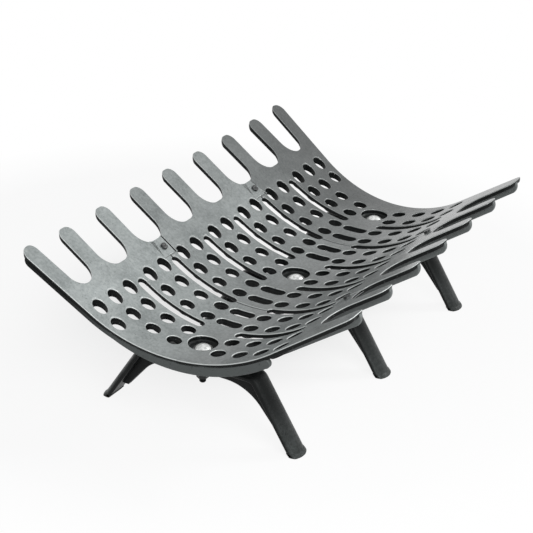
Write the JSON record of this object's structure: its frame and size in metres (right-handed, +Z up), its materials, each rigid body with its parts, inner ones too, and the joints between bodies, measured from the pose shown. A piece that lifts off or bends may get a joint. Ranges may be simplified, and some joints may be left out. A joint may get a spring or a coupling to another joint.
{
  "type": "log grate",
  "caption": "Cradle-shaped fireplace log grate: perforated cast-iron panels with upturned fingers, bolted side by side on splayed leg arches.",
  "frame": {"origin": "centre of the footprint at floor level, below the middle bolt; the feet stand on Z = 0", "axes": "+X along the grate, in the picture to the upper right; +Y across it to the wide side with more fingers; +Z up"},
  "size_m": [0.5872, 0.398, 0.2004],
  "materials": {
    "panel_iron": "sand-cast, matt dark grey",
    "leg_iron": "sand-cast, matt dark grey, a little darker than the panels",
    "fastener_steel": "plain steel with a dull zinc look"
  },
  "bodies": {
    "root": {"panel_left": "panel_iron", "panel_middle": "panel_iron", "panel_right": "panel_iron", "leg_arch_left": "leg_iron", "leg_arch_middle": "leg_iron", "leg_arch_right": "leg_iron", "bolt_left": "fastener_steel", "bolt_middle": "fastener_steel", "bolt_right": "fastener_steel", "washer_left": "fastener_steel", "washer_middle": "fastener_steel", "washer_right": "fastener_steel", "nut_left": "fastener_steel", "nut_middle": "fastener_steel", "nut_right": "fastener_steel", "seam_screw_left_wide": "fastener_steel", "seam_screw_left_narrow": "fastener_steel", "seam_screw_right_wide": "fastener_steel", "seam_screw_right_narrow": "fastener_steel", "seam_nut_left_wide": "fastener_steel", "seam_nut_left_narrow": "fastener_steel", "seam_nut_right_wide": "fastener_steel", "seam_nut_right_narrow": "fastener_steel"}
  },
  "joints": []
}
